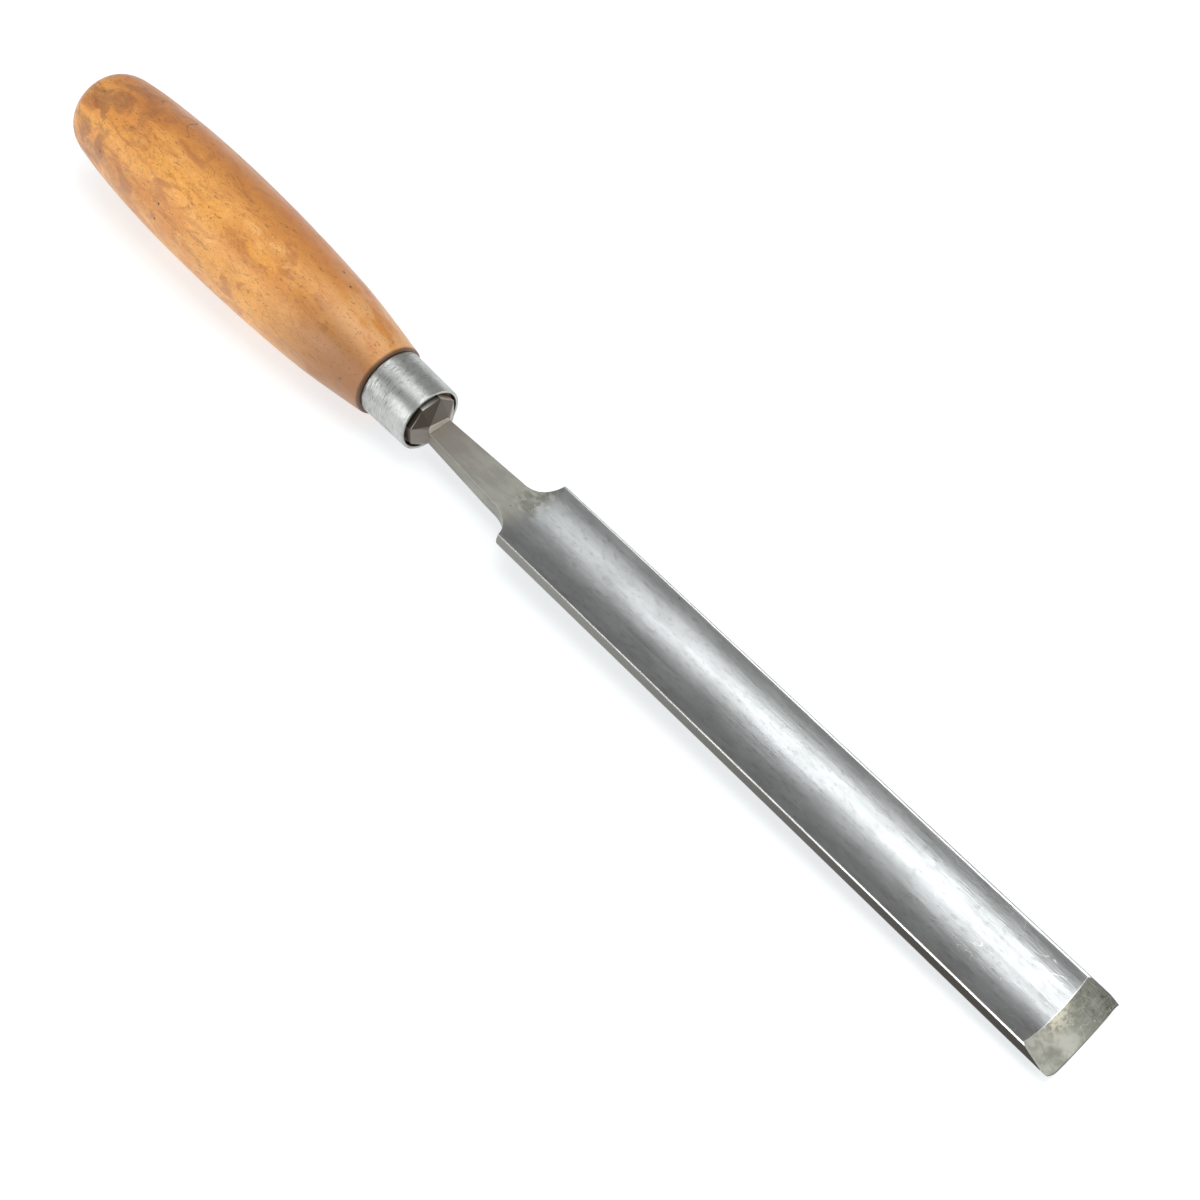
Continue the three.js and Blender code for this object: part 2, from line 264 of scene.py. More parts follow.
def make_lathe():
    """Geometry Nodes that turn a profile round the z axis and wear its surface, all in millimetres."""
    tree = bpy.data.node_groups.new("turn_on_lathe", "GeometryNodeTree")
    for name, kind in [
        ("Profile", "Geometry"), ("Steps Round", "Int"), ("Waviness", "Float"), ("Wave Length", "Float"),
        ("Dent Depth", "Float"), ("Dent Spacing", "Float"), ("Seed", "Float"), ("Material", "Material"),
    ]:
        tree.interface.new_socket(name, in_out="INPUT", socket_type="NodeSocket" + kind)
    tree.interface.new_socket("Turned", in_out="OUTPUT", socket_type="NodeSocketGeometry")
    given = tree.nodes.new("NodeGroupInput").outputs
    round_axis = add(tree, "GeometryNodeCurvePrimitiveCircle", {
        "Resolution": given["Steps Round"], "Radius": 1e-4,
    })
    turned = add(tree, "GeometryNodeCurveToMesh", {"Curve": round_axis, "Profile Curve": given["Profile"]})
    welded = add(tree, "GeometryNodeMergeByDistance", {"Geometry": turned, "Distance": 1e-3})
    # Long low waves left by the gouge and by hand sanding.
    here = add(tree, "GeometryNodeInputPosition")
    here = add(tree, "ShaderNodeVectorMath", {0: here, 1: given["Seed"]}, operation="ADD")
    waves = add(tree, "ShaderNodeMath", {0: 1.0, 1: given["Wave Length"]}, operation="DIVIDE")
    wave = add(tree, "ShaderNodeTexNoise", {"Vector": here, "Scale": waves, "Detail": 2.0})
    wave = add(tree, "ShaderNodeMath", {0: wave, 1: 0.5}, operation="SUBTRACT")
    swell = add(tree, "ShaderNodeMath", {0: wave, 1: given["Waviness"]}, operation="MULTIPLY")
    # Dents: a round hollow in about half of the cells, of differing depth.
    cells = add(tree, "ShaderNodeMath", {0: 1.0, 1: given["Dent Spacing"]}, operation="DIVIDE")
    near = add(tree, "ShaderNodeTexVoronoi", {"Vector": here, "Scale": cells}, out="Distance")
    hollow = add(tree, "ShaderNodeMapRange", {
        0: near, 1: 0.02, 2: 0.22, 3: 1.0, 4: 0.0,
    }, interpolation_type="SMOOTHSTEP")
    chance = add(tree, "ShaderNodeSeparateXYZ", {0: near.node.outputs["Color"]})
    struck = add(tree, "ShaderNodeMapRange", {0: chance, 1: 0.45, 2: 0.95}, interpolation_type="SMOOTHSTEP")
    dent = add(tree, "ShaderNodeMath", {0: hollow, 1: struck}, operation="MULTIPLY")
    dent = add(tree, "ShaderNodeMath", {0: dent, 1: given["Dent Depth"]}, operation="MULTIPLY")
    out = add(tree, "ShaderNodeMath", {0: swell, 1: dent}, operation="SUBTRACT")
    normal = add(tree, "GeometryNodeInputNormal")
    offset = add(tree, "ShaderNodeVectorMath", {0: normal, "Scale": out}, operation="SCALE")
    worn = add(tree, "GeometryNodeSetPosition", {"Geometry": welded, "Offset": offset})
    real = add(tree, "GeometryNodeRealizeInstances", {"Geometry": worn})
    done = add(tree, "GeometryNodeSetMaterial", {"Geometry": real, "Material": given["Material"]})
    add(tree, "NodeGroupOutput", {"Turned": done})
    return tree


LATHE = make_lathe()


def turn(name, profile, closed, sizes):
    """Turns a profile of (x, radius) points on the lathe and returns its mesh, drawn on the tool's axis."""
    curve = bpy.data.curves.new(name + "_profile", "CURVE")
    curve.dimensions = "3D"
    spline = curve.splines.new("POLY")
    spline.points.add(len(profile) - 1)
    for point, (x, radius) in zip(spline.points, profile):
        point.co = (radius, x, 0, 1)
    spline.use_cyclic_u = closed
    rough = bpy.data.objects.new(name + "_rough", curve)
    bpy.context.scene.collection.objects.link(rough)
    lathe = rough.modifiers.new("lathe", "NODES")
    lathe.node_group = LATHE
    for socket in LATHE.interface.items_tree:
        if socket.name in sizes:
            lathe[socket.identifier] = sizes[socket.name]
    depsgraph = bpy.context.evaluated_depsgraph_get()
    mesh = bpy.data.meshes.new_from_object(rough.evaluated_get(depsgraph))
    bpy.data.objects.remove(rough)
    bpy.data.curves.remove(curve)
    mesh.transform(Matrix(((0, 0, -1, 0), (0, 1, 0, 0), (1, 0, 0, 0), (0, 0, 0, 1))))
    mesh.set_sharp_from_angle(angle=math.radians(30))
    return mesh


profile = [(BUTT_X, 0.0)] + [(BUTT_X, r) for r in (1.5, 3.0, 4.5)]
for share in np.linspace(0, 1, 22):
    distance, radius = bezier(DOME, share)
    profile.append((BUTT_X + distance, radius))
profile += [(BUTT_X + d, r) for d, r in through(BARREL, 0.7)[1:]]
profile += evenly(profile[-1], (HANDLE_SHOULDER_X - 0.1, 10.9), 3)
profile += evenly(profile[-1], (HANDLE_SHOULDER_X, 10.6), 2)
profile += evenly(profile[-1], (HANDLE_SHOULDER_X, TENON_RADII[0]), 2)
profile += evenly(profile[-1], (TENON_END_X, TENON_RADII[1]), 8)
profile += evenly(profile[-1], (TENON_END_X, BORE_RADII[0]), 3)
profile += evenly(profile[-1], (BORE_END_X, BORE_RADII[1]), 30)
profile += evenly(profile[-1], (BORE_END_X - 1, 0.0), 2)
mesh = turn("handle", profile, False, {
    "Steps Round": 320, "Waviness": 0.25, "Wave Length": 24.0, "Dent Depth": 0.16, "Dent Spacing": 11.0,
    "Seed": 3.7, "Material": wood,
})
# The tang was driven a little askew, so the barrel leans away from the blade's line by a quarter of a degree.
for vertex in mesh.vertices:
    if vertex.co.x < HANDLE_SHOULDER_X + 0.01:
        vertex.co.y -= LEAN * (vertex.co.x - LEAN_PIVOT_X)
handle = lay_on_table("turned_handle", mesh)
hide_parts("handle")

# ---- Ferrule --------------------------------------------------------------------------------------------
# A short piece of steel tube pressed over the handle's tenon so that the tang can't split the wood. Its rims
# are eased, it tapers slightly to its mouth, and a file has scratched it round its girth.

FERRULE_LENGTH = 16.6
FERRULE_RADII = (9.92, 10.3)        # at the mouth, at the wood
FERRULE_WALL = 0.95
RIM_EASE = 0.22

# Bright drawn steel, scuffed with fine lines that run round the tube, strongest towards the wood, with a few
# duller blotches where it has been rusty and was rubbed clean.
tube_steel, tree, shader, place = start_material("steel_tube_scuffed_round")
x = add(tree, "ShaderNodeSeparateXYZ", {0: place})
scuffed = add(tree, "ShaderNodeMapRange", {0: x, 1: -3.0, 2: -11.0, 3: 0.35, 4: 1.0})
fine_lines = patches(tree, place, (0.16, 7, 7), 0.46, 0.66)
dark_lines = patches(tree, place, (0.2, 3.2, 3.2), 0.55, 0.66, 0.75)
dark_lines = add(tree, "ShaderNodeMath", {0: dark_lines, 1: scuffed}, operation="MULTIPLY")
colour = layered(tree, "babcb9", [
    (patches(tree, place, (6, 4, 4), 0.45, 0.7, 0.6), "9fa19f"),
    (patches(tree, place, (0.22, 4, 4), 0.56, 0.7, 0.5), "e8e9e7"),
    (dark_lines, "5e5d58"),
    (specks(tree, place, 2.2, 0.16, 0.25), "77746d"),
])
tree.links.new(colour, shader.inputs["Base Color"])
shader.inputs["Metallic"].default_value = 1.0
tree.links.new(add(tree, "ShaderNodeMapRange", {
    0: cloud(tree, place, (5, 4, 4)), 1: 0.35, 2: 0.65, 3: 0.27, 4: 0.38,
}), shader.inputs["Roughness"])
height = add(tree, "ShaderNodeMath", {0: fine_lines, 1: scuffed}, operation="MULTIPLY")
height = add(tree, "ShaderNodeMath", {0: height, 1: dark_lines}, operation="SUBTRACT")
tree.links.new(add(tree, "ShaderNodeBump", {
    "Height": height, "Distance": 0.00005, "Strength": 0.7,
}), shader.inputs["Normal"])

# Inside the mouth nothing has rubbed it, so it is brown with a dull, grainy oxide.
bore_oxide, tree, shader, place = start_material("steel_brown_oxide")
rust = patches(tree, place, (1.6, 1.6, 1.6), 0.4, 0.62, 1.0, 4.0)
tree.links.new(layered(tree, "3d2f24", [(rust, "63503f")]), shader.inputs["Base Color"])
shader.inputs["Metallic"].default_value = 0.4
shader.inputs["Roughness"].default_value = 0.65
tree.links.new(add(tree, "ShaderNodeBump", {
    "Height": rust, "Distance": 0.0001, "Strength": 0.6,
}), shader.inputs["Normal"])

# The tube's wall in section, each corner eased: outside from the wood to the mouth, then back inside.
mouth, back = FERRULE_RADII
inner_mouth = mouth - FERRULE_WALL
inner_back = back - FERRULE_WALL
corners = [(-FERRULE_LENGTH, back), (0.0, mouth), (0.0, inner_mouth), (-FERRULE_LENGTH, inner_back)]
corners = [np.array(corner) for corner in corners]
profile = []
for i, corner in enumerate(corners):
    before = corners[i - 1] - corner
    after = corners[(i + 1) % 4] - corner
    start = corner + RIM_EASE * before / np.linalg.norm(before)
    end = corner + RIM_EASE * after / np.linalg.norm(after)
    if profile:
        profile += evenly(profile[-1], start, max(1, round(np.linalg.norm(start - profile[-1]) / 0.5)))
    else:
        profile.append(tuple(start))
    for share in (0.25, 0.5, 0.75, 1.0):
        profile.append(tuple((1 - share) ** 2 * start + 2 * (1 - share) * share * corner + share ** 2 * end))
span = np.linalg.norm(np.array(profile[0]) - profile[-1])
profile += evenly(profile[-1], profile[0], round(span / 0.5))[:-1]
mesh = turn("ferrule", profile, True, {
    "Steps Round": 288, "Waviness": 0.05, "Wave Length": 7.0, "Dent Depth": 0.07, "Dent Spacing": 4.5,
    "Seed": 1.3, "Material": tube_steel,
})
mesh.materials.append(bore_oxide)
taper = (back - mouth) / FERRULE_LENGTH
for face in mesh.polygons:
    bore_radius = inner_mouth + taper * abs(face.center.x)
    if math.hypot(face.center.y, face.center.z) < bore_radius + 0.15:
        face.material_index = 1
ferrule = lay_on_table("steel_ferrule", mesh)
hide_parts("ferrule")

# ---- Blade, neck, bolster and tang ----------------------------------------------------------------------
# One bar of cast steel, forged to a tang, an octagonal bolster, a neck and a trough. The trough is ground and
# glazed, its side walls lean in to narrow flat rims, and the bevel is honed inside the hollow.

SHOULDER_X = 41.4                   # back corners of the blade
EDGE_X = 228.0                      # the middle of the cutting edge
BLADE_HALF = 12.7                   # half of 25.4 mm (1 in)
SOLE_RADIUS = 25.4
CANNEL_RADIUS = 24.0
WALL_SLOPE = math.tan(0.49)         # how far the side walls lean in for each mm that they rise
CORNER_EASE = 0.7                   # the corner of wall and sole is eased off by this much
RIM_FLAT = 0.6
RIM_Z = (3.25, 4.5)                 # height of the rims, at the shoulder and at the edge
CORNER_Z = (0.65, 2.3)              # height of the corner of wall and sole, at the shoulder and at the edge
BEVEL_LENGTH = 8.7
BEVEL_RADIUS = 27.8
BEVEL_YAW = 0.02
NECK_START_X = 2.0                  # hidden in the bolster
NECK_END_X = 31.9
NECK_HALF = (3.62, 5.1)             # half width at its start and at its end
NECK_TOP_Z = (1.0, 0.5)
NECK_BOTTOM_Z = (-3.1, -3.9)
NECK_DRAFT = 0.2                    # the forged sides of the neck widen by this much towards the bottom
FILLET = 9.8                        # concave radius between the neck and the blade's back corners

SOLE_HALF = BLADE_HALF + CORNER_EASE * WALL_SLOPE
SOLE_CENTRE = math.sqrt(SOLE_RADIUS ** 2 - SOLE_HALF ** 2)
RIM_HALF = SOLE_HALF - (RIM_Z[1] - CORNER_Z[1]) * WALL_SLOPE - RIM_FLAT
CANNEL_CENTRE = math.sqrt(CANNEL_RADIUS ** 2 - RIM_HALF ** 2)


def between(pair, x, start=SHOULDER_X, end=EDGE_X):
    """A size that runs evenly from one place to another."""
    return pair[0] + (pair[1] - pair[0]) * (x - start) / (end - start)


def ease(x, start, end):
    """0 before start, 1 after end, and smooth between them."""
    t = np.clip((x - start) / (end - start), 0, 1)
    return t * t * (3 - 2 * t)


def top_z(x, y):
    """Height of the neck's flat top, which runs out into the hollow, and of the rims."""
    drop = np.sqrt(CANNEL_RADIUS ** 2 - np.minimum(abs(y), RIM_HALF) ** 2)
    hollow = between(RIM_Z, x) + CANNEL_CENTRE - drop
    flat = between(NECK_TOP_Z, np.maximum(x, NECK_END_X), NECK_END_X, SHOULDER_X - 2)
    return flat + (hollow - flat) * ease(x, 32.5, 40.0)


def bottom_z(x, y):
    """Height of the convex sole with eased corners, and of the neck's underside, which runs out into it."""
    arc_half = SOLE_HALF - CORNER_EASE
    arc = SOLE_CENTRE - np.sqrt(SOLE_RADIUS ** 2 - np.minimum(abs(y), arc_half) ** 2)
    corner = np.maximum(abs(y) - arc_half, 0) / (BLADE_HALF - arc_half) * CORNER_EASE
    sole = between(CORNER_Z, x) + arc + corner
    bar = between(NECK_BOTTOM_Z, np.minimum(x, NECK_END_X - 3), NECK_START_X, NECK_END_X - 3)
    flare = ease(abs(y), NECK_HALF[1], BLADE_HALF)
    root = bar + (between(CORNER_Z, x) + CORNER_EASE - bar) * flare
    return sole + (root - sole) * (1 - ease(x, 33.0, 46.0))


def bevel_z(x, y):
    """Height of the round-bottomed bevel."""
    heel = RIM_Z[1] - (CANNEL_RADIUS - CANNEL_CENTRE)
    edge = CORNER_Z[1] - (SOLE_RADIUS - SOLE_CENTRE)
    slope = (heel - edge) / BEVEL_LENGTH
    turned_x = (x - EDGE_X) * math.cos(BEVEL_YAW) + y * math.sin(BEVEL_YAW)
    turned_y = y * math.cos(BEVEL_YAW) - (x - EDGE_X) * math.sin(BEVEL_YAW)
    rise = (BEVEL_RADIUS - np.sqrt(BEVEL_RADIUS ** 2 - turned_y ** 2)) / math.cos(math.atan(slope))
    return edge - slope * turned_x + rise


def meeting(height):
    """The x between blade and edge at which a height above the bevel turns to nothing."""
    low, high = EDGE_X - 30, EDGE_X + 6
    for _ in range(40):
        middle = (low + high) / 2
        if height(middle) > 0:
            low = middle
        else:
            high = middle
    return (low + high) / 2


EDGE_THICKNESS = 0.04
HOLLOW_STEPS = 34
OUTER_POINTS = 12                   # from the inner corner of the rim, out and down to the foot of the side


def column(k, x, half):
    """y and z of lengthwise line k, counted from the middle out, at x with this half width in plan."""
    rim_y = np.minimum(half - 0.25, RIM_HALF)
    wall_height = between(RIM_Z, x) - between(CORNER_Z, x)
    wall_top_y = np.minimum(half - 0.1, SOLE_HALF - wall_height * WALL_SLOPE)
    inner_y = rim_y - 0.1
    if k <= HOLLOW_STEPS:
        y = inner_y * k / HOLLOW_STEPS
        return y, top_z(x, y)
    hollow = np.array([inner_y, top_z(x, inner_y)])
    rim = np.array([rim_y, top_z(x, rim_y)])
    wall_top = np.array([wall_top_y, top_z(x, wall_top_y)])
    foot = between(CORNER_Z, x) + CORNER_EASE + (BLADE_HALF - half) / WALL_SLOPE
    side_z = np.minimum(top_z(x, half) - 0.2, foot)
    side = np.array([half, side_z])
    draft = NECK_DRAFT * (1 - ease(x, NECK_END_X - 6, SHOULDER_X - 1))
    low = np.array([half + draft, np.minimum(bottom_z(x, half), side_z)])
    rim_in = rim + (wall_top - rim) * 0.2
    rim_out = wall_top + (rim - wall_top) * 0.2
    wall_start = wall_top + (side - wall_top) * 0.06
    points = [
        0.25 * hollow + 0.5 * rim + 0.25 * rim_in, rim_in, rim_out,
        0.25 * rim_out + 0.5 * wall_top + 0.25 * wall_start, wall_start,
        wall_top + (side - wall_top) * 0.35, wall_top + (side - wall_top) * 0.7, side,
        side + (low - side) * 0.33, side + (low - side) * 0.67, low,
    ]
    return points[k - HOLLOW_STEPS - 1]


def bevel_above(k, side, x):
    """Height of the bevel over the hollow or the rim, on lengthwise line k of one side of the blade."""
    y, z = column(k, x, BLADE_HALF)
    return bevel_z(x, side * y) - z


# Rows across the blade: the neck, the fillets, the rounded back corners, then the trough and the bevel.
neck_x = np.linspace(NECK_START_X, NECK_END_X, 30)
neck_half = between(NECK_HALF, neck_x, NECK_START_X, NECK_END_X)
fillet_y = NECK_HALF[1] + FILLET
fillet_end = math.acos((fillet_y - BLADE_HALF + 0.45) / FILLET)
turns = np.linspace(0, fillet_end, 30)[1:]
fillet_x = NECK_END_X + FILLET * np.sin(turns)
fillet_half = fillet_y - FILLET * np.cos(turns)
shares = np.linspace(0, 1, 8)[1:]
start, middle, end = [np.array(p) for p in (
    (fillet_x[-1], fillet_half[-1]), (SHOULDER_X + 0.05, BLADE_HALF), (SHOULDER_X + 0.9, BLADE_HALF),
)]
rounded = [(1 - t) ** 2 * start + 2 * (1 - t) * t * middle + t ** 2 * end for t in shares]
back_x = np.concatenate([neck_x, fillet_x, [p[0] for p in rounded]])
back_half = np.concatenate([neck_half, fillet_half, [p[1] for p in rounded]])
blade_share = np.concatenate([np.linspace(0, 1, 111)[1:-1], [0.9985, 1.0]])
bevel_share = np.concatenate([[0.012], np.linspace(0, 1, 22)[1:]])
blade_start_x = back_x[-1]

top_columns, column_x, column_y = [], [], []
for k in range(-HOLLOW_STEPS - OUTER_POINTS + 1, HOLLOW_STEPS + OUTER_POINTS):
    side = -1 if k < 0 else 1
    wall_k = min(abs(k), HOLLOW_STEPS + OUTER_POINTS - 4)
    heel = meeting(lambda x: bevel_above(wall_k, side, x))
    y = side * float(column(wall_k, heel, BLADE_HALF)[0])
    kept_y = min(y, SOLE_HALF - CORNER_EASE)
    end = meeting(lambda x: bevel_z(x, kept_y) - bottom_z(x, kept_y)) - EDGE_THICKNESS
    corner_start, corner_pull = (9.4, 0.9) if side < 0 else (11.0, -0.25)
    end -= corner_pull * (max(abs(y) - corner_start, 0) / (BLADE_HALF - corner_start)) ** 2
    heel = min(heel, end)
    x = np.concatenate([
        back_x, blade_start_x + (heel - blade_start_x) * blade_share, heel + (end - heel) * bevel_share,
    ])
    half = np.concatenate([back_half, np.full(len(x) - len(back_half), BLADE_HALF)])
    flat_y, z = column(abs(k), np.minimum(x, heel), half)
    z = np.where(x > heel, bevel_z(x, y), z)
    top_columns.append(np.stack([x, side * flat_y, z], 1))
    column_x.append(x)
    column_y.append(y)
top = np.stack(top_columns, 1)

inner = slice(3, -3)                # the sole has no lines for the foot of the sides
bottom_columns = []
for x, y in zip(column_x[inner], column_y[inner]):
    half = np.concatenate([back_half, np.full(len(x) - len(back_half), BLADE_HALF)])
    draft = NECK_DRAFT * (1 - ease(x, NECK_END_X - 6, SHOULDER_X - 1))
    low_y = (half + draft) * y / BLADE_HALF
    thickness = EDGE_THICKNESS if abs(y) < BLADE_HALF - 0.01 else 0.0
    low_z = np.minimum(bottom_z(x, half * y / BLADE_HALF), bevel_z(x, y) - thickness)
    bottom_columns.append(np.stack([x, low_y, low_z], 1))
bottom = np.stack(bottom_columns, 1)

# Cast steel. The trough is ground and glazed to a soft grey shine whose faint ripples run lengthwise. The
# neck, side walls and bolster keep a brown-grey skin, pitted where the neck runs out into the hollow. Its
# attributes tell how much skin is left and which parts are side wall, and carry painted light: a painted
# highlight on the rims, the neck's top edges and the heel, painted shade with some forge scale on the
# bolster's up-facing facets, and a painted highlight on its facets that face +y and forward.
cast_steel, tree, shader, place = start_material("cast_steel_ground_and_glazed")
x, y = add(tree, "ShaderNodeSeparateXYZ", {0: place}).node.outputs[:2]
skin, rim, wall, scale, rubbed, heel_line = [
    add(tree, "ShaderNodeAttribute", out="Fac", attribute_name=name)
    for name in ("skin", "rim", "wall", "scale", "rubbed", "heel_line")
]
fine = patches(tree, place, (2.2, 1.1, 1.1), 0.5, 0.75, 0.5, 4.0)
skin_patches = add(tree, "ShaderNodeMath", {
    0: skin, 1: patches(tree, place, (8, 3, 3), 0.4, 0.66),
}, operation="MULTIPLY")
skin_at_bolster = add(tree, "ShaderNodeMath", {
    0: skin, 1: add(tree, "ShaderNodeMapRange", {0: x, 1: 22.0, 2: 6.0, 4: 0.8}),
}, operation="MULTIPLY")
wall_at_edge = add(tree, "ShaderNodeMath", {
    0: wall, 1: add(tree, "ShaderNodeMapRange", {0: x, 1: 60.0, 2: 190.0}),
}, operation="MULTIPLY")
# Rust pits, 0.5 to 1 mm across, thick where neck and hollow meet and sparse elsewhere.
root = add(tree, "ShaderNodeMapRange", {0: x, 1: 31.0, 2: 36.0}, interpolation_type="SMOOTHSTEP")
past_root = add(tree, "ShaderNodeMapRange", {0: x, 1: 44.0, 2: 39.0}, interpolation_type="SMOOTHSTEP")
root_far = add(tree, "ShaderNodeMapRange", {0: y, 1: -4.0, 2: 2.0}, interpolation_type="SMOOTHSTEP")
for limit in (past_root, root_far):
    root = add(tree, "ShaderNodeMath", {0: root, 1: limit}, operation="MULTIPLY")
root_mottle = add(tree, "ShaderNodeMath", {
    0: root, 1: patches(tree, place, (2.2, 1.8, 1.8), 0.36, 0.56, 0.85, 4.0),
}, operation="MULTIPLY")
pits = add(tree, "ShaderNodeMath", {
    0: root, 1: 0.1, 2: cloud(tree, place, (0.7, 0.5, 0.5)),
}, operation="MULTIPLY_ADD")
pits = add(tree, "ShaderNodeMapRange", {0: pits, 1: 0.68, 2: 0.78, 4: 0.7}, interpolation_type="SMOOTHSTEP")
# Hairline scratches in the last third of the hollow, from sharpening.
at_edge = add(tree, "ShaderNodeMapRange", {0: x, 1: 165.0, 2: 212.0}, interpolation_type="SMOOTHSTEP")
inside = add(tree, "ShaderNodeMapRange", {0: wall, 3: 1.0, 4: 0.0})
scratches = add(tree, "ShaderNodeMath", {
    0: hairlines(tree, place, (11, 3.5, 3.5), 0.007), 1: hairlines(tree, place, (6, 2, 2), 0.009),
}, operation="MAXIMUM")
for limit in (at_edge, inside):
    scratches = add(tree, "ShaderNodeMath", {0: scratches, 1: limit}, operation="MULTIPLY")
scratches = add(tree, "ShaderNodeMath", {
    0: scratches, 1: patches(tree, place, (4, 3, 3), 0.46, 0.62, 0.75),
}, operation="MULTIPLY")
colour = layered(tree, "a5a7a8", [
    (patches(tree, place, (13, 5, 5), 0.36, 0.66), "989a9a"),
    (fine, "83827d"),
    (skin, "95948b"),
    (skin_patches, "88867f"),
    (skin_at_bolster, "7b736a"),
    (wall, "83837e"),
    (wall_at_edge, "47433f"),
    (root_mottle, "6e6f65"),
    (pits, "4c4c44"),
    (specks(tree, place, 5.0, 0.25, 0.2), "55524d"),
    # painted shade and dark reflection on the bolster's up-facing facets, with some forge scale
    (scale, "463d33"),
    # painted highlight on the bolster's facets that face +y and forward
    (rubbed, "e9e2d4"),
    # painted highlight along the rims and the neck's top edges
    (rim, "d9d9d6"),
    (scratches, "f4f5f4"),
    # painted highlight along the heel ridge
    (heel_line, "f6f6f2"),
])
tree.links.new(colour, shader.inputs["Base Color"])
tree.links.new(add(tree, "ShaderNodeMapRange", {0: skin, 3: 1.0, 4: 0.4}), shader.inputs["Metallic"])
rough = add(tree, "ShaderNodeMapRange", {
    0: cloud(tree, place, (60, 1.3, 1.3)), 1: 0.3, 2: 0.7, 3: 0.27, 4: 0.38,
})
rougher = add(tree, "ShaderNodeMath", {0: skin, 1: pits}, operation="ADD")
rough = add(tree, "ShaderNodeMath", {0: rougher, 1: 0.16, 2: rough}, operation="MULTIPLY_ADD")
tree.links.new(rough, shader.inputs["Roughness"])
rippled = add(tree, "ShaderNodeBump", {
    "Height": cloud(tree, place, (45, 4, 4), 2.0), "Distance": 0.0006, "Strength": 0.13,
})
hairs = patches(tree, place, (9, 0.22, 0.22), 0.3, 0.7, 0.35, 2.0)
dips = add(tree, "ShaderNodeMath", {0: pits, 1: fine}, operation="ADD")
height = add(tree, "ShaderNodeMath", {0: hairs, 1: dips}, operation="SUBTRACT")
tree.links.new(add(tree, "ShaderNodeBump", {
    "Height": height, "Distance": 0.00006, "Strength": 0.35, "Normal": rippled,
}), shader.inputs["Normal"])

# The bevel is rubbed on a slip stone: matt, with a faint green-grey cast, a brighter burnish at its heel, and
# a few rust spots towards one corner. Its far part is painted darker: painted shade and dark reflection.
bevel_steel, tree, shader, place = start_material("cast_steel_honed_bevel")
x, y = add(tree, "ShaderNodeSeparateXYZ", {0: place}).node.outputs[:2]
heel_line, thin_edge = [
    add(tree, "ShaderNodeAttribute", out="Fac", attribute_name=name) for name in ("heel_line", "thin_edge")
]
# Painted shade and dark reflection: the bevel darkens towards its far (+y) side.
far_part = add(tree, "ShaderNodeMapRange", {0: y, 1: -4.0, 2: 7.0, 4: 0.8}, interpolation_type="SMOOTHSTEP")
near_heel = add(tree, "ShaderNodeMapRange", {0: x, 1: EDGE_X - 4.0, 2: EDGE_X - 8.0})
off_middle = add(tree, "ShaderNodeMath", {0: y, 1: 1.0}, operation="ADD")
off_middle = add(tree, "ShaderNodeMath", {0: off_middle}, operation="ABSOLUTE")
middle = add(tree, "ShaderNodeMapRange", {0: off_middle, 1: 7.0, 2: 1.0})
heel_scratches = patches(tree, place, (1.2, 1.4, 1.4), 0.42, 0.58, 0.9, 5.0)
for limit in (near_heel, middle):
    heel_scratches = add(tree, "ShaderNodeMath", {0: heel_scratches, 1: limit}, operation="MULTIPLY")
rust = add(tree, "ShaderNodeMath", {
    0: add(tree, "ShaderNodeMapRange", {0: y, 1: 4.0, 2: 10.5}),
    1: patches(tree, place, (1, 1, 1), 0.56, 0.66, 0.85, 4.0),
}, operation="MULTIPLY")
rubbed_lines = patches(tree, place, (0.35, 3.5, 3.5), 0.5, 0.75, 0.25)
colour = layered(tree, "cbcbc0", [
    (patches(tree, place, (4, 5, 5), 0.38, 0.66), "a2a398"),
    # painted shade on the far part of the bevel
    (far_part, "575a50"),
    (patches(tree, place, (7, 2, 2), 0.5, 0.66, 0.45, 2.0, 1.0), "939287"),
    (hairlines(tree, place, (9, 2, 2), 0.006), "c9c8bf"),
    (rubbed_lines, "cbc9c0"),
    (heel_scratches, "e2dcc6"),
    (rust, "53453a"),
    (thin_edge, "56645d"),
    # painted highlight along the heel ridge
    (heel_line, "f4f3ea"),
])
tree.links.new(colour, shader.inputs["Base Color"])
shader.inputs["Metallic"].default_value = 0.6
shader.inputs["Roughness"].default_value = 0.48
tree.links.new(add(tree, "ShaderNodeBump", {
    "Height": rubbed_lines, "Distance": 0.00005, "Strength": 0.4,
}), shader.inputs["Normal"])


def grid(mesh, points, rows_swapped):
    """Adds a grid of points to a bmesh and returns its vertices, row by row."""
    rows = [[mesh.verts.new(p) for p in row] for row in points]
    for upper, lower in zip(rows, rows[1:]):
        for i in range(len(upper) - 1):
            corners = (upper[i], lower[i], lower[i + 1], upper[i + 1])
            mesh.faces.new(corners[::-1] if rows_swapped else corners)
    return rows


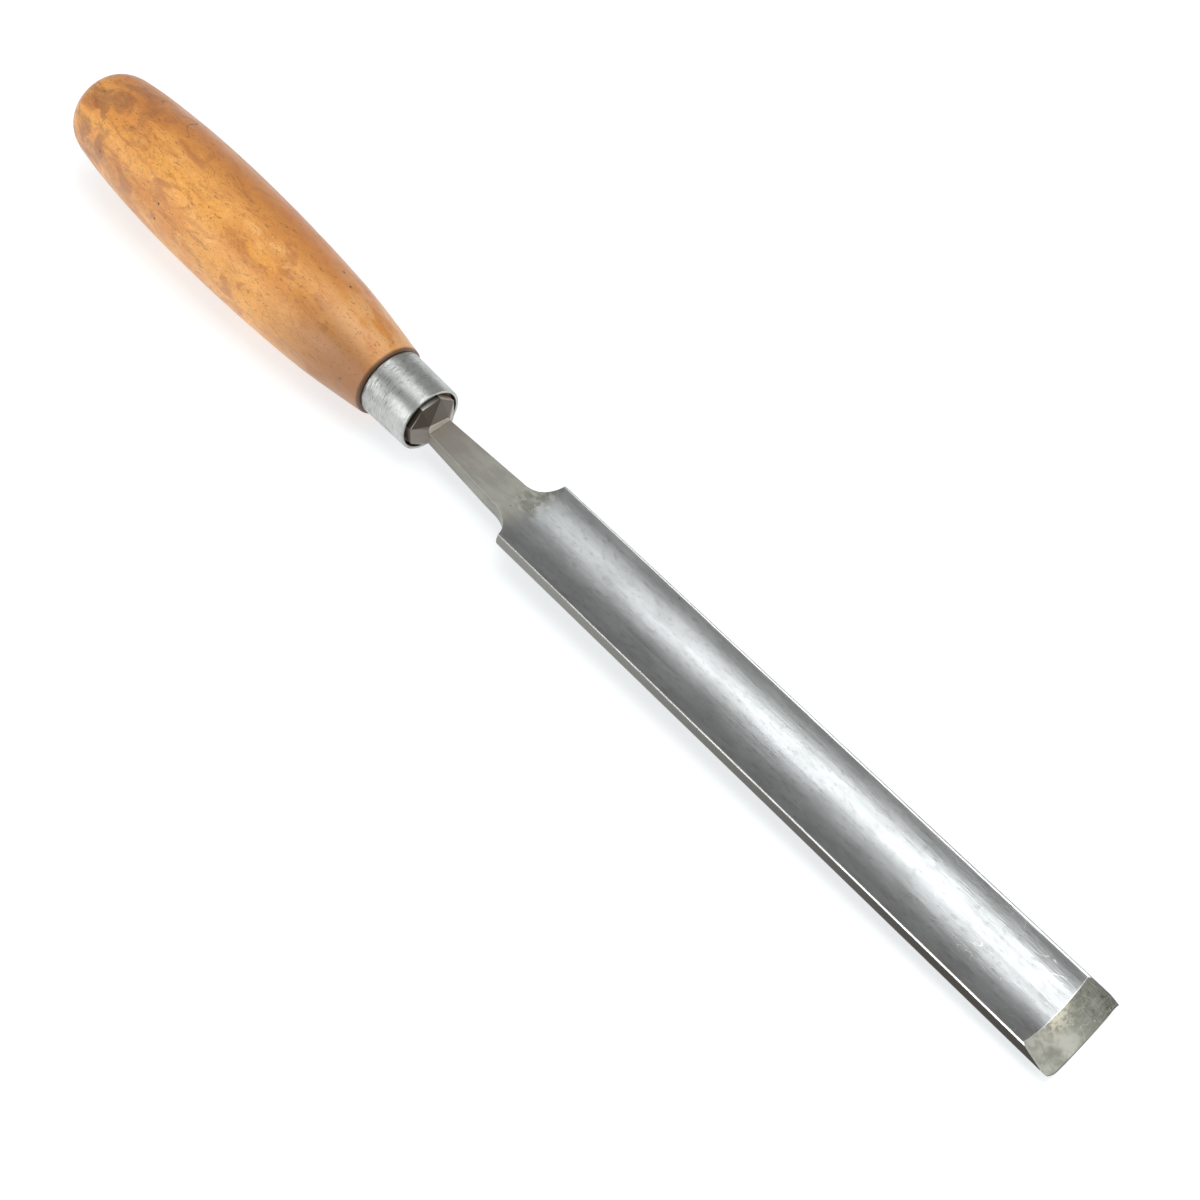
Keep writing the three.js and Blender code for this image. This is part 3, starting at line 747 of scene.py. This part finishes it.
trough = bmesh.new()
marks = {
    name: trough.verts.layers.float.new(name)
    for name in ("skin", "rim", "wall", "heel_line", "thin_edge", "scale", "rubbed")
}
upper_rows = grid(trough, top, False)
lower_rows = grid(trough, bottom, True)
heel_row = len(back_x) + len(blade_share) - 1
for r, row in enumerate(upper_rows):
    for c, vertex in enumerate(row):
        outer = abs(c - len(row) // 2) - HOLLOW_STEPS
        on_wall = min(max((outer - 3) / 2, 0), 1)
        on_neck = 1 - float(ease(vertex.co.x, 35.0, 43.0))
        vertex[marks["skin"]] = max(0.45 * on_wall, on_neck)
        # Painted highlight: the rims and the neck's top edges are painted brighter.
        vertex[marks["rim"]] = 0.75 if 2 + on_neck <= outer <= 3 else 0.0
        vertex[marks["wall"]] = (1 - on_neck) * on_wall
        # Painted highlight: the heel row is painted almost white.
        vertex[marks["heel_line"]] = 0.8 if r == heel_row and outer < 3 else 0.0
        vertex[marks["thin_edge"]] = 0.9 if r == len(upper_rows) - 1 else 0.0
for row in lower_rows:
    for vertex in row:
        vertex[marks["skin"]] = 1 - 0.7 * float(ease(vertex.co.x, 35.0, 43.0))
on_bevel = {vertex for row in upper_rows[heel_row:] for vertex in row}
for face in trough.faces:
    face.smooth = True
    face.material_index = int(all(vertex in on_bevel for vertex in face.verts))
last_top = upper_rows[-1][inner]
last_bottom = lower_rows[-1]
for i in range(len(last_top) - 1):
    trough.faces.new((last_top[i], last_bottom[i], last_bottom[i + 1], last_top[i + 1])).material_index = 1
bmesh.ops.remove_doubles(trough, verts=trough.verts, dist=0.004)
bmesh.ops.holes_fill(trough, edges=[edge for edge in trough.edges if edge.is_boundary], sides=0)
bmesh.ops.dissolve_degenerate(trough, dist=0.002, edges=trough.edges)
bmesh.ops.recalc_face_normals(trough, faces=trough.faces)
trough_mesh = bpy.data.meshes.new("trough")
trough.to_mesh(trough_mesh)
trough_mesh.materials.append(cast_steel)
trough_mesh.materials.append(bevel_steel)

# The bolster: an octagonal block whose facets slope in to the neck and leave a small step above it.
BOLSTER_FLATS = 15.1
BOLSTER_X = (-1.2, 1.0, 3.9)        # back, where the facets start to slope, front
STEP_Z = {-1: 3.8, 1: 2.2}          # top of the step, at each side
STEP_HALF = 3.7
BOLSTER_EDGE = 0.16
corner = BOLSTER_FLATS / 2 / math.cos(math.pi / 8)
points = [(x, corner * math.cos(a), corner * math.sin(a))
          for x in BOLSTER_X[:2] for a in (np.arange(8) + 0.5) * math.pi / 4]
for side, step in STEP_Z.items():
    y = side * STEP_HALF
    front = BOLSTER_X[2]
    points += [(front, y * 0.87, step), (front, y, step - 1), (front, y, NECK_BOTTOM_Z[0])]
# The tang: a square spike.
TANG = [(-0.7, 3.5), (-76.0, 1.5)]  # x and half width, at its root and at its tip
TANG_EDGE = 0.12


def hull(points, edge):
    """A closed block through points, with its edges eased."""
    block = bmesh.new()
    for p in points:
        block.verts.new(p)
    made = bmesh.ops.convex_hull(block, input=block.verts)
    bmesh.ops.delete(block, geom=list({*made["geom_interior"], *made["geom_unused"]}), context="VERTS")
    bmesh.ops.dissolve_limit(block, angle_limit=0.02, verts=block.verts, edges=block.edges)
    bmesh.ops.bevel(block, geom=block.edges, offset=edge, segments=2, affect="EDGES", profile=0.6)
    bmesh.ops.recalc_face_normals(block, faces=block.faces)
    for face in block.faces:
        face.smooth = True
    mesh = bpy.data.meshes.new("block")
    block.to_mesh(mesh)
    mesh.materials.append(cast_steel)
    return mesh


forging = bpy.data.objects.new("forging", trough_mesh)
blocks = [hull(points, BOLSTER_EDGE),
          hull([(x, sy * w, sz * w) for x, w in TANG for sy in (-1, 1) for sz in (-1, 1)], TANG_EDGE)]
bpy.context.scene.collection.objects.link(forging)
for block_mesh in blocks:
    block = bpy.data.objects.new("block", block_mesh)
    bpy.context.scene.collection.objects.link(block)
    union = forging.modifiers.new("forged_on", "BOOLEAN")
    union.operation = "UNION"
    union.solver = "EXACT"
    union.object = block
mesh = bpy.data.meshes.new_from_object(forging.evaluated_get(bpy.context.evaluated_depsgraph_get()))
rough_names = ("forging", "block")
for rough_object in [o for o in bpy.context.scene.collection.objects if o.name.startswith(rough_names)]:
    bpy.data.objects.remove(rough_object)
mesh.set_sharp_from_angle(angle=math.radians(15))
# The bolster keeps its skin. Its facets that face up are painted dark: painted shade and dark reflection,
# with some forge scale. Its front and its facets towards +y are painted bright: a painted highlight.
skin, scale, rubbed = [mesh.attributes[name].data for name in ("skin", "scale", "rubbed")]
on_bolster = [face for face in mesh.polygons if face.center.x < BOLSTER_X[2] + 0.05]
for face in on_bolster:
    for i in face.vertices:
        across_y, up = mesh.vertices[i].normal.yz
        skin[i].value = 1.0
        scale[i].value = ease(up, 0.1, 0.5) * (1 - ease(across_y, 0.2, 0.7))
FACET_AREA = 0.8                    # in square millimetres; smaller faces belong to the eased edges
for face in on_bolster:
    for i in face.vertices:
        if face.area > FACET_AREA:
            scale[i].value = ease(face.normal.z, 0.1, 0.5) * (1 - ease(face.normal.y, 0.2, 0.7))
            # painted highlight, set by the direction each facet faces
            rubbed[i].value = max(ease(face.normal.y, 0.6, 0.8), 0.8 * ease(face.normal.x, 0.85, 0.95))
gouge_blade = lay_on_table("forged_gouge_blade", mesh)
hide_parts("gouge_blade")

# ---- Table, light and camera ----------------------------------------------------------------------------
# A pale matt table under four soft panels in a row above the tool, whose reflection is the bright band in its
# hollow, and a wide fill from each side.

table_paint, tree, shader, place = start_material("white_matt_board")
shader.inputs["Base Color"].default_value = linear("b8bbbc")
shader.inputs["Roughness"].default_value = 0.9
shader.inputs["Emission Color"].default_value = linear("fbfdff")
shader.inputs["Emission Strength"].default_value = 0.62
table_mesh = bpy.data.meshes.new("table")
table_mesh.from_pydata([(-9, -9, 0), (9, -9, 0), (9, 9, 0), (-9, 9, 0)], [], [(0, 1, 2, 3)])
table_mesh.materials.append(table_paint)
table = bpy.data.objects.new("table", table_mesh)
bpy.context.scene.collection.objects.link(table)

bpy.context.scene.view_settings.view_transform = "Standard"

world = bpy.data.worlds.new("studio")
world.use_nodes = True
world.node_tree.nodes["Background"].inputs["Color"].default_value = (1.0, 0.99, 0.97, 1)
world.node_tree.nodes["Background"].inputs["Strength"].default_value = 0.4
bpy.context.scene.world = world


def soft_light(name, place, target, size, power, colour=(1, 1, 1)):
    """A rectangular soft light that faces a point."""
    data = bpy.data.lights.new(name, "AREA")
    data.shape = "RECTANGLE"
    data.size, data.size_y = size
    data.energy = power
    data.color = colour
    light = bpy.data.objects.new(name, data)
    light.location = place
    light.rotation_euler = (Vector(target) - Vector(place)).to_track_quat("-Z", "Y").to_euler()
    bpy.context.scene.collection.objects.link(light)


DAYLIGHT = (0.97, 0.99, 1.0)
soft_light("overhead", (-0.75, 0.02, 1.0), (-0.5, 0.0, 0.0), (0.7, 0.2), 0.75, (0.96, 0.98, 1.0))
soft_light("overhead_at_the_middle", (-0.22, 0.01, 0.95), (-0.1, 0.0, 0.0), (0.3, 0.34), 0.6, DAYLIGHT)
soft_light("overhead_past_the_middle", (0.0, 0.1, 0.92), (0.02, 0.08, 0.0), (0.24, 0.68), 1.9, DAYLIGHT)
soft_light("overhead_at_the_edge", (0.2, 0.3, 0.92), (0.2, 0.2, 0.0), (0.22, 0.7), 1.9, DAYLIGHT)
soft_light("left_fill", (-0.6, -1.3, 0.6), (0, 0, 0), (1.5, 0.95), 8.5)
soft_light("right_fill", (1.1, 0.15, 0.8), (0, 0, 0), (0.7, 0.9), 4)

camera_data = bpy.data.cameras.new("camera")
camera_data.lens = 53.78
camera_data.sensor_width = 36
camera = bpy.data.objects.new("camera", camera_data)
camera.location = (0.21149, -0.17857, 0.38976)
camera.rotation_euler = [math.radians(a) for a in (33.267, -1.251, 47.407)]
bpy.context.scene.collection.objects.link(camera)
bpy.context.scene.camera = camera
